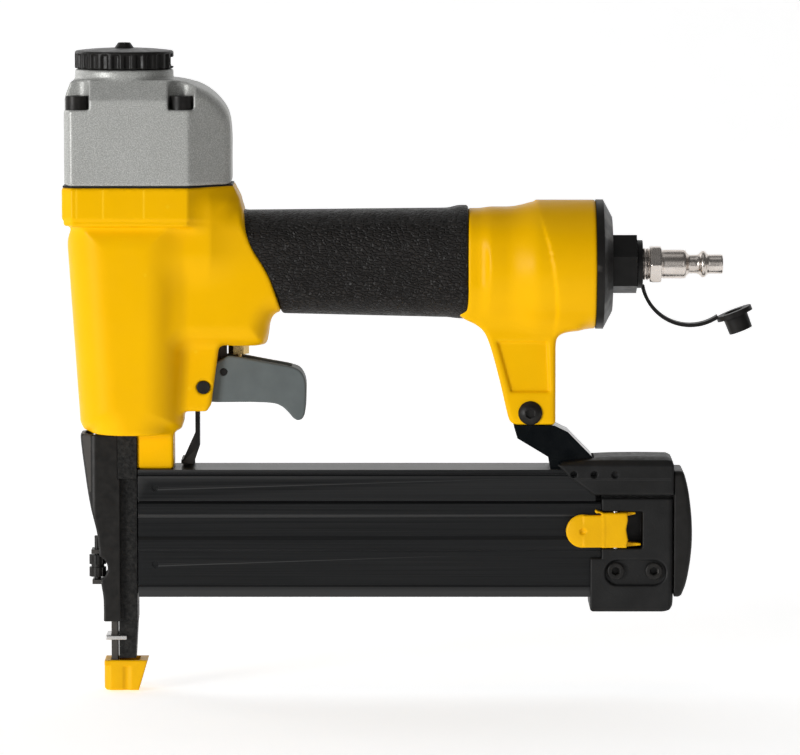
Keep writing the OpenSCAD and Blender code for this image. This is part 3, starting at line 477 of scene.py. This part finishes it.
def make_nose_cover():
    """Pressed cover over the safety mechanism, with an opening for the depth wheel."""
    g = Grid((-18.1, -11.0, NOSE_LOW_Z), (-1.9, 11.0, 103.9), 0.35)
    x, y, z = g.x, g.y, g.z
    front = curve([(-17.0, 103.8), (-18.0, 101.8), (-15.8, 85.2), (-14.0, 74.8), (-11.0, 62.2),
                   (-9.9, 45.2), (-8.8, 36.4), (-8.9, 20.0)], 5)
    skin = outline(x, z, [*front, (20.0, 20.0), (20.0, 103.8)])
    inner = outline(x, z, [(20.0, 0.0), (20.0, 120.0), (-16.3, 120.0), (-16.3, 102.0),
                           (-14.2, 85.2), (-12.3, 74.8), (-9.4, 62.2), (-8.3, 45.2),
                           (-7.25, 36.4), (-7.25, 0.0)])
    bevel = (np.abs(y) - 11.0 - (x + 12.8)) * 0.707
    cover = both(both(skin, np.abs(y) - 11.0, 0.8), bevel, 0.9)
    cover = cut(cover, both(both(inner, np.abs(y) - 9.3, 0.6), bevel + 1.6, 0.4))
    back = np.where(z > 85.9, x + 2.95, x + 2.0)
    cover = both(cover, back, 0.2)
    cover = both(cover, slab(z, NOSE_LOW_Z, 103.8), 0.3)
    window = both(slab(x, -25, -7), rect(y, z, (-5.2, 5.2), (41, 70), 1.0), 0)
    notch = rod(x + 12.4, z - 49.9, 5.3) + 0.0 * y
    cover = cut(cut(cover, window, 0.4), notch, 0.4)
    cover = cut(cover, both(slab(x, -11, 0), both(5.0 - y, 83.0 - z, 0), 0))
    crease = both(rod(x + 18.0, z - 71.0, 3.2), 3.5 - np.abs(y), 0.4)
    return g.mesh("nose_cover_pressed", cut(cover, crease, 0.6))


def make_tail_screws():
    """Two flat button heads with hexagon sockets, on shafts that cross the tail."""
    g = Grid((192.6, -14.0, 45.6), (215.0, 11.8, 52.8), 0.25)
    x, y, z = g.x, g.y, g.z
    screws = None
    for sx, sz in TAIL_SCREWS:
        out = rod(x - sx, z - sz, 0)
        head = both(out - 3.4, slab(y, -14.0, -12.2), 0.5)
        shank = both(out - 1.55, slab(y, -13, 11.8), 0.2)
        shoulder = both(out - 2.3, slab(y, -13, -10.6), 0.1)
        shaft = join(shank, shoulder, 0)
        screw = cut(join(head, shaft, 0), both(hexagon(x - sx, z - sz, 1.45), y + 11.2, 0), 0.2)
        screws = screw if screws is None else np.minimum(screws, screw)
    return g.mesh("tail_screw_buttons", screws)


def make_leg_screw():
    """Domed button-head screw through the leg and the bracket."""
    g = Grid((156.7, -13.7, 107.2), (167.1, 15.6, 117.6), 0.25)
    x, y, z = g.x, g.y, g.z
    out = rod(x - LEG_SCREW[0], z - LEG_SCREW[1], 0)
    dome = np.sqrt(out * out + (y + 7.2) ** 2) - 6.4
    head = both(both(dome, out - 5.0, 0.4), slab(y, -13.6, -11.0), 0.3)
    screw = join(head, both(out - 2.45, slab(y, -12, 15.5), 0.3), 0)
    socket = both(hexagon(x - LEG_SCREW[0], z - LEG_SCREW[1], 1.75), y + 12.0, 0)
    return g.mesh("leg_screw_button", cut(screw, socket, 0.3))


def make_air_plug():
    """Turned quick-connect plug: threads, a hexagon, body, neck and locking ridge."""
    low, high = (side[0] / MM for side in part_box("air_plug"))
    g = Grid((low, -8.2, INLET_Z - 8.2), (high, 8.2, INLET_Z + 8.2), 0.25)
    x, y, z = g.x, g.y, g.z
    out = rod(y, z - INLET_Z, 0)
    threads = [(204.6 + 0.6 * i, 6.55 if i % 2 else 5.95) for i in range(9)]
    profile = [(low, -3), (low, 6.6), (204.2, 6.6), *threads, (209.6, 5.9), (214.6, 5.6)]
    profile += [(215.2, 5.8), (223.2, 5.8), (224.0, 5.5), *curve([
        (224.6, 4.6), (225.4, 3.8), (226.4, 3.75), (228.6, 3.8), (229.6, 4.4), (230.5, 5.25),
        (231.2, 5.4), (231.9, 5.1), (232.7, 4.1), (233.6, 3.85)], 4)]
    profile += [(high - 0.4, 3.9), (high, 3.5), (high, -3)]
    plug = outline(x, out, profile)
    hexa = hexagon(z - INLET_Z, y, 7.0)
    hexa = both(both(hexa, slab(x, 209.7, 214.3), 0.2), out + np.abs(x - 212.0) * 0.6 - 8.9, 0.2)
    plug = join(plug, hexa, 0.2)
    return g.mesh("air_plug_turned", cut(plug, out - 2.5, 0.3))


# ---------------------------------------------------------------- materials

class Nodes:
    """A principled material and short calls to build its node tree."""

    def __init__(self, name, metallic=0.0, rough=0.5, **fixed):
        self.material = bpy.data.materials.new(name)
        self.material.use_nodes = True
        self.tree = self.material.node_tree
        self.shader = self.tree.nodes["Principled BSDF"]
        self.shader.inputs["Metallic"].default_value = metallic
        self.shader.inputs["Roughness"].default_value = rough
        for key, value in fixed.items():
            self.shader.inputs[key.replace("_", " ")].default_value = value
        self.place = self.tree.nodes.new("ShaderNodeTexCoord").outputs["Object"]

    def link(self, a, b):
        self.tree.links.new(a, b)

    def node(self, kind, **values):
        made = self.tree.nodes.new("ShaderNode" + kind)
        for key, value in values.items():
            setattr(made, key, value)
        return made

    def stretch(self, x, y, z):
        """Object places scaled along each axis, for brushed or drawn textures."""
        made = self.node("Mapping")
        made.inputs["Scale"].default_value = (x, y, z)
        self.link(self.place, made.inputs["Vector"])
        return made.outputs["Vector"]

    def noise(self, scale, detail=2.0, rough=0.5, place=None):
        made = self.node("TexNoise")
        made.inputs["Scale"].default_value = scale
        made.inputs["Detail"].default_value = detail
        made.inputs["Roughness"].default_value = rough
        self.link(place or self.place, made.inputs["Vector"])
        return made.outputs["Fac"]

    def cells(self, scale, feature="F1", place=None):
        made = self.node("TexVoronoi", feature=feature)
        made.inputs["Scale"].default_value = scale
        self.link(place or self.place, made.inputs["Vector"])
        return made.outputs["Distance"]

    def ramp(self, fac, low, high, a, b):
        """Values from a to b (numbers or colours) as fac goes from low to high."""
        made = self.node("ValToRGB")
        for stop, place, value in zip(made.color_ramp.elements, (low, high), (a, b)):
            stop.position = place
            stop.color = (*value, 1) if isinstance(value, tuple) else (value, value, value, 1)
        self.link(fac, made.inputs["Fac"])
        return made.outputs["Color"]

    def mix(self, fac, a, b):
        made = self.node("Mix", data_type="RGBA")
        for socket, value in ((made.inputs["Factor"], fac), (made.inputs["A"], a),
                              (made.inputs["B"], b)):
            if isinstance(value, bpy.types.NodeSocket):
                self.link(value, socket)
            elif isinstance(value, tuple):
                socket.default_value = (*value, 1)
            else:
                socket.default_value = value
        return made.outputs["Result"]

    def bump(self, layers):
        """Stacked bumps: (height, distance in metres, strength)."""
        normal = None
        for height, distance, strength in layers:
            made = self.node("Bump")
            made.inputs["Distance"].default_value = distance
            made.inputs["Strength"].default_value = strength
            self.link(height, made.inputs["Height"])
            if normal:
                self.link(normal, made.inputs["Normal"])
            normal = made.outputs["Normal"]
        self.link(normal, self.shader.inputs["Normal"])

    def colour(self, source):
        self.link(source, self.shader.inputs["Base Color"])

    def rough(self, source):
        self.link(source, self.shader.inputs["Roughness"])

    def edge_wear_and_highlight(self, low=0.53, high=0.6):
        """Where edges stand proud, from 0 to 1: the mask that paints edges lighter, for edge wear
        and as a painted highlight.
        """
        geometry = self.node("NewGeometry")
        return self.ramp(geometry.outputs["Pointiness"], low, high, 0.0, 1.0)


def head_paint():
    """Silver-grey paint with fine light and dark metallic specks."""
    n = Nodes("head_paint", metallic=0.25, rough=0.42, Specular_IOR_Level=0.3)
    speck = n.ramp(n.noise(2300, 1.5), 0.4, 0.66, (0.30, 0.30, 0.285), (0.70, 0.705, 0.68))
    broad = n.ramp(n.noise(60, 3.0), 0.35, 0.65, (0.43, 0.435, 0.415), (0.47, 0.475, 0.455))
    # Proud edges painted a lighter grey: edge wear and a painted highlight.
    n.colour(n.mix(n.ramp(n.edge_wear_and_highlight(), 0.2, 1.0, 0.0, 0.25), n.mix(0.5, broad, speck),
                   (0.62, 0.62, 0.6)))
    n.rough(n.ramp(n.noise(900, 2.0), 0.3, 0.7, 0.36, 0.5))
    n.bump([(n.noise(1500, 2.0), 0.00015, 0.5), (n.noise(240, 2.0), 0.0002, 0.12)])
    return n.material


def yellow_paint():
    """Satin yellow enamel with a faint orange-peel surface and slightly paler edges, painted as
    edge wear and highlight.
    """
    n = Nodes("yellow_paint", rough=0.36, Specular_IOR_Level=0.08)
    broad = n.ramp(n.noise(35, 3.0), 0.3, 0.7, (0.93, 0.49, 0.0), (0.97, 0.52, 0.0))
    # Proud edges painted a paler yellow: edge wear and a painted highlight.
    n.colour(n.mix(n.ramp(n.edge_wear_and_highlight(), 0.3, 1.0, 0.0, 0.35), broad, (1.0, 0.62, 0.02)))
    n.rough(n.ramp(n.noise(160, 3.0), 0.3, 0.7, 0.30, 0.40))
    n.bump([(n.noise(420, 2.0), 0.00012, 0.10), (n.noise(1800, 1.0), 0.00005, 0.08)])
    return n.material


def leather_rubber():
    """Black moulded rubber with a leather grain of long pebbles and creases."""
    n = Nodes("grip_rubber", rough=0.5, Specular_IOR_Level=0.28)
    wander = n.node("VectorMath", operation="MULTIPLY_ADD")
    drift = n.node("TexNoise")
    drift.inputs["Scale"].default_value = 420
    n.link(n.place, drift.inputs["Vector"])
    n.link(drift.outputs["Color"], wander.inputs[0])
    wander.inputs[1].default_value = (0.0014, 0.0014, 0.0014)
    n.link(n.stretch(0.62, 1.0, 1.25), wander.inputs[2])
    pebble = n.cells(720, "DISTANCE_TO_EDGE", wander.outputs["Vector"])
    crease = n.ramp(pebble, 0.0, 0.24, 0.0, 1.0)
    low = n.ramp(n.noise(90, 3.0), 0.3, 0.7, (0.012, 0.010, 0.009), (0.020, 0.017, 0.015))
    n.colour(n.mix(crease, (0.004, 0.0035, 0.003), low))
    n.rough(n.ramp(n.noise(300, 3.0), 0.3, 0.7, 0.4, 0.56))
    n.bump([(crease, 0.0004, 0.9), (n.noise(2200, 2.0), 0.0001, 0.3)])
    return n.material


def black_rubber():
    """Smooth moulded rubber, dull, with a little dust in its texture."""
    n = Nodes("black_rubber", rough=0.5, Specular_IOR_Level=0.22)
    n.colour(n.ramp(n.noise(220, 4.0), 0.3, 0.75, (0.007, 0.0065, 0.006), (0.014, 0.013, 0.0125)))
    n.rough(n.ramp(n.noise(500, 3.0), 0.3, 0.7, 0.38, 0.54))
    n.bump([(n.noise(1600, 2.0), 0.00008, 0.25)])
    return n.material


def moulded(name, dark, light, rough=(0.42, 0.55), grain=1700, depth=0.4, shine=0.22):
    """Moulded plastic with a spark-eroded grain."""
    n = Nodes(name, rough=rough[0], Specular_IOR_Level=shine)
    # Proud edges painted 1.5 times lighter than the grain: edge wear and a painted highlight.
    n.colour(n.mix(n.ramp(n.edge_wear_and_highlight(), 0.3, 1.0, 0.0, 0.3),
                   n.ramp(n.noise(120, 3.0), 0.3, 0.7, dark, light),
                   tuple(min(1.0, 1.5 * c + 0.003) for c in light)))
    n.rough(n.ramp(n.noise(380, 2.0), 0.3, 0.7, *rough))
    n.bump([(n.noise(grain, 3.0), 0.00012, depth), (n.noise(150, 2.0), 0.0002, 0.08)])
    return n.material


def anodised():
    """Black anodised extrusion, with die lines drawn along X."""
    n = Nodes("black_anodised", rough=0.4, Specular_IOR_Level=0.12)
    lines = n.noise(1.0, 4.0, place=n.stretch(12, 2600, 2600))
    # Proud edges painted grey (0.07) on near-black: edge wear and a painted highlight along ridge
    # tops.
    n.colour(n.mix(n.ramp(n.edge_wear_and_highlight(), 0.2, 1.0, 0.0, 0.5),
                   n.ramp(lines, 0.3, 0.7, (0.008, 0.0085, 0.009), (0.016, 0.0165, 0.017)),
                   (0.07, 0.07, 0.07)))
    n.rough(n.ramp(lines, 0.3, 0.7, 0.28, 0.42))
    n.bump([(lines, 0.00006, 0.3), (n.noise(2600, 1.0), 0.00005, 0.12)])
    return n.material


def black_oxide(name="black_oxide", rough=(0.34, 0.5), light=0.02):
    """Blackened steel, faintly mottled, with lighter proud edges, painted as rubbed wear and
    highlight.
    """
    n = Nodes(name, metallic=0.1, rough=rough[0], Specular_IOR_Level=0.22)
    blotch = n.ramp(n.noise(260, 5.0, 0.6), 0.3, 0.7, (0.008, 0.0075, 0.007),
                    (light, light * 0.92, light * 0.85))
    # Proud edges painted a lighter grey: rubbed wear and a painted highlight.
    n.colour(n.mix(n.ramp(n.edge_wear_and_highlight(), 0.2, 1.0, 0.0, 0.45), blotch, (0.12, 0.11, 0.1)))
    n.rough(n.ramp(n.noise(420, 4.0), 0.3, 0.7, *rough))
    n.bump([(n.noise(1400, 3.0), 0.00008, 0.3)])
    return n.material


def cast_steel():
    """Dark cast driver guide with a coarse sand texture."""
    n = Nodes("cast_steel", metallic=0.1, rough=0.5, Specular_IOR_Level=0.2)
    n.colour(n.ramp(n.noise(700, 4.0, 0.65), 0.36, 0.72, (0.004, 0.004, 0.0038),
                    (0.026, 0.025, 0.0235)))
    n.rough(n.ramp(n.noise(420, 3.0), 0.3, 0.7, 0.4, 0.62))
    n.bump([(n.noise(900, 4.0), 0.0003, 0.6)])
    return n.material


def gloss_black():
    """Glossy black paint on the bent bracket."""
    n = Nodes("gloss_black", rough=0.2, Specular_IOR_Level=0.16)
    n.colour(n.ramp(n.noise(80, 2.0), 0.3, 0.7, (0.002, 0.003, 0.004), (0.004, 0.0055, 0.0065)))
    n.rough(n.ramp(n.noise(200, 2.0), 0.3, 0.7, 0.12, 0.22))
    n.bump([(n.noise(350, 2.0), 0.0001, 0.12)])
    return n.material


def bare_metal(name, dark, light, rough, turned=(1, 1, 1), scale=900):
    """Ground, turned or plated metal with fine tool marks."""
    n = Nodes(name, metallic=1.0, rough=rough[0])
    marks = n.noise(scale, 3.0, place=n.stretch(*turned))
    n.colour(n.mix(n.ramp(n.noise(90, 3.0), 0.35, 0.65, 0.0, 1.0), dark, light))
    n.rough(n.ramp(marks, 0.3, 0.7, *rough))
    n.bump([(marks, 0.00004, 0.25)])
    return n.material


MATERIALS = {
    "head_paint": head_paint(),
    "housing_paint": yellow_paint(),
    "grip_rubber": leather_rubber(),
    "seal_rubber": black_rubber(),
    "black_rubber": black_rubber(),
    "cap_plastic": moulded("cap_plastic", (0.007, 0.0065, 0.006), (0.013, 0.012, 0.011),
                           (0.32, 0.46)),
    "trigger_plastic": moulded("trigger_plastic", (0.112, 0.128, 0.128), (0.132, 0.150, 0.150),
                               (0.45, 0.58), 1500, 0.3),
    "tail_plastic": moulded("tail_plastic", (0.008, 0.008, 0.008), (0.013, 0.013, 0.013),
                            (0.42, 0.56), 1200, 0.6),
    "yellow_plastic": moulded("yellow_plastic", (0.83, 0.425, 0.0), (0.90, 0.48, 0.0),
                              (0.36, 0.5), 1400, 0.3, 0.14),
    "black_anodised": anodised(),
    "black_oxide": black_oxide(),
    "gloss_black": gloss_black(),
    "bright_steel": bare_metal("bright_steel", (0.50, 0.50, 0.50), (0.62, 0.61, 0.6),
                               (0.22, 0.4)),
    "valve_brass": bare_metal("valve_brass", (0.55, 0.36, 0.13), (0.72, 0.52, 0.22),
                              (0.2, 0.38), (1, 1, 6)),
    "nickel": bare_metal("nickel", (0.66, 0.60, 0.55), (0.78, 0.72, 0.67), (0.2, 0.34), (8, 1, 1)),
    "cast_aluminium": bare_metal("cast_aluminium", (0.55, 0.55, 0.55), (0.65, 0.65, 0.65),
                                 (0.3, 0.5)),
    "end_plate_paint": black_oxide("end_plate_paint", (0.36, 0.48), 0.013),
}
OWN_MATERIAL = {
    "driver_guide": cast_steel(),
    "nose_cover": black_oxide("nose_oxide", (0.3, 0.44), 0.018),
}


# ---------------------------------------------------------------- CAD pieces, finished

def shade_group():
    """Geometry nodes that shade smooth, but keep edges sharper than 35 degrees."""
    group = bpy.data.node_groups.new("shade_by_angle", "GeometryNodeTree")
    group.interface.new_socket("Geometry", in_out="INPUT", socket_type="NodeSocketGeometry")
    group.interface.new_socket("Geometry", in_out="OUTPUT", socket_type="NodeSocketGeometry")
    start = group.nodes.new("NodeGroupInput")
    end = group.nodes.new("NodeGroupOutput")
    faces = group.nodes.new("GeometryNodeSetShadeSmooth")
    edges = group.nodes.new("GeometryNodeSetShadeSmooth")
    edges.domain = "EDGE"
    angle = group.nodes.new("GeometryNodeInputMeshEdgeAngle")
    sharp = group.nodes.new("FunctionNodeCompare")
    sharp.inputs["B"].default_value = math.radians(35)
    edges.inputs["Shade Smooth"].default_value = False
    group.links.new(start.outputs[0], faces.inputs["Geometry"])
    group.links.new(faces.outputs["Geometry"], edges.inputs["Geometry"])
    group.links.new(angle.outputs["Unsigned Angle"], sharp.inputs["A"])
    group.links.new(sharp.outputs["Result"], edges.inputs["Selection"])
    group.links.new(edges.outputs["Geometry"], end.inputs[0])
    return group


SHADE = shade_group()
BEVEL_SEGMENTS = 3
BEVEL_ANGLE = math.radians(34)


def refine(node, width):
    """Round a CAD piece's edges and shade it by angle, with modifiers only."""
    piece = frame["nodes"][node]
    weld = piece.modifiers.new("weld", "WELD")
    weld.merge_threshold = 1e-5
    shade = piece.modifiers.new("shade", "NODES")
    shade.node_group = SHADE
    if width:
        flat = piece.modifiers.new("flat", "DECIMATE")
        flat.decimate_type = "DISSOLVE"
        flat.angle_limit = math.radians(1)
        piece.modifiers.move(2, 1)
        bevel = piece.modifiers.new("bevel", "BEVEL")
        bevel.width = width * MM
        bevel.segments = BEVEL_SEGMENTS
        bevel.limit_method = "ANGLE"
        bevel.angle_limit = BEVEL_ANGLE
        bevel.harden_normals = True
        even = piece.modifiers.new("even", "WEIGHTED_NORMAL")
        even.keep_sharp = True
        even.weight = 60


EDGE_WIDTH = {
    "cap_screw": 0.25, "head_screws": 0.35, "head_gasket": 0.1,
    "end_plate": 0.6, "dust_cap": 0.35, "trigger_pin": 0.3,
    "spring_pins": 0.25, "valve_body": 0.25, "driver_guide": 0.3,
    "safety_arm": 0.25, "depth_wheel": 0.15, "contact_foot": 0.3, "foot_clip": 0.35,
    "magazine_rail": 0.25, "rail_bracket": 0.6, "leg_nut": 0.3, "magazine_slide": 0.25,
    "nose_screws": 0.2,
}


def finish_cad():
    """Materials and edges for every CAD node."""
    slots = {row["node"]: row["material_slot"] for row in frame["record"]["subparts"]}
    for node, piece in frame["nodes"].items():
        material = OWN_MATERIAL.get(node, MATERIALS[slots[node]])
        if not piece.material_slots:
            piece.data.materials.append(material)
        for slot in piece.material_slots:
            slot.material = material
        refine(node, EDGE_WIDTH.get(node, 0))


def replace(piece, node, slot, body="frame", material=None):
    """Put a new piece in a CAD node's place, on its body and in its finish."""
    piece.data.materials.append(material or MATERIALS[slot])
    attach(piece, body)
    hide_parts(node)


# ---------------------------------------------------------------- studio

def area_light(name, place, aim, size, power):
    """A soft white rectangular light, pointed at a place."""
    data = bpy.data.lights.new(name, "AREA")
    data.shape = "RECTANGLE"
    data.size, data.size_y = size
    data.energy = power
    light = bpy.data.objects.new(name, data)
    light.location = place
    light.rotation_euler = (Vector(aim) - Vector(place)).to_track_quat("-Z", "Y").to_euler()
    bpy.context.scene.collection.objects.link(light)


FLOOR_Z = -0.0005
FLOOR_FRONT_Y = -0.5
WALL_Y = 1.2
WALL_RADIUS = 1.2
WALL_TOP_Z = 5.0
FLOOR_HALF_WIDTH = 4.0


def studio():
    """Pale curved floor, soft lights and an even pale sky."""
    line = [(FLOOR_FRONT_Y, FLOOR_Z), (WALL_Y, FLOOR_Z)]
    line += [(WALL_Y + WALL_RADIUS * math.sin(a), WALL_RADIUS * (1 - math.cos(a)))
             for a in np.radians(np.arange(5, 91, 5))]
    line += [(WALL_Y + WALL_RADIUS, WALL_TOP_Z)]
    points = [(x, y, z) for y, z in line for x in (-FLOOR_HALF_WIDTH, FLOOR_HALF_WIDTH)]
    faces = [(2 * i, 2 * i + 1, 2 * i + 3, 2 * i + 2) for i in range(len(line) - 1)]
    mesh = bpy.data.meshes.new("floor")
    mesh.from_pydata(points, [], faces)
    floor = bpy.data.objects.new("floor", mesh)
    bpy.context.scene.collection.objects.link(floor)
    pale = Nodes("floor_paper", rough=0.9, Emission_Strength=0.6)
    pale.shader.inputs["Emission Color"].default_value = (1, 1, 1, 1)
    pale.colour(pale.ramp(pale.noise(30, 2.0), 0.3, 0.7, (0.86, 0.86, 0.86), (0.88, 0.88, 0.88)))
    mesh.materials.append(pale.material)
    middle = (0.1, 0, 0.13)
    area_light("key", (-1.5, -1.5, 0.3), middle, (0.7, 0.7), 31)
    area_light("fill", (0.8, -2.0, 0.4), middle, (0.9, 1.2), 3)
    area_light("top", (-0.1, -0.2, 1.6), middle, (1.2, 0.8), 1.5)
    area_light("back_left", (-1.2, 0.9, 0.7), middle, (0.8, 0.8), 4)
    world = bpy.data.worlds.new("studio")
    world.use_nodes = True
    sky = world.node_tree.nodes["Background"]
    sky.inputs["Color"].default_value = (1.0, 1.0, 1.0, 1)
    sky.inputs["Strength"].default_value = 0.1
    bpy.context.scene.world = world
    bpy.context.scene.view_settings.view_transform = "Standard"


def camera():
    """A long lens, square to the tool's side and a little above it."""
    raise_by = math.radians(5.6)
    away = 2.2
    target = Vector((0.1099, 0.0, 0.1256))
    data = bpy.data.cameras.new("camera")
    data.lens = 247.0
    data.sensor_width = 36.0
    data.clip_end = 20.0
    made = bpy.data.objects.new("camera", data)
    made.location = target + Vector((0, -away * math.cos(raise_by), away * math.sin(raise_by)))
    made.rotation_euler = (target - made.location).to_track_quat("-Z", "Y").to_euler()
    bpy.context.scene.collection.objects.link(made)
    bpy.context.scene.camera = made


# ---------------------------------------------------------------- the whole

camera()
studio()
finish_cad()
replace(make_head(), "head_casting", "head_paint")
replace(make_housing(), "main_housing", "housing_paint")
replace(make_grip(), "grip_sleeve", "grip_rubber")
replace(make_exhaust_cap(), "exhaust_cap", "cap_plastic", "exhaust_cap")
replace(make_trigger(), "trigger", "trigger_plastic", "trigger")
replace(make_tip(), "no_mar_tip", "yellow_plastic", "contact_foot")
replace(make_latch(), "latch", "yellow_plastic", "latch")
replace(make_tail(), "tail_cap", "tail_plastic", "magazine")
replace(make_rear_bumper(), "rear_bumper", "black_rubber", "magazine")
replace(make_bracket_cover(), "bracket_cover", "tail_plastic")
replace(make_tail_screws(), "tail_screws", "black_oxide", "magazine")
replace(make_leg_screw(), "leg_screw", "black_oxide")
replace(make_air_plug(), "air_plug", "nickel")
replace(make_nose_cover(), "nose_cover", "black_oxide", material=OWN_MATERIAL["nose_cover"])
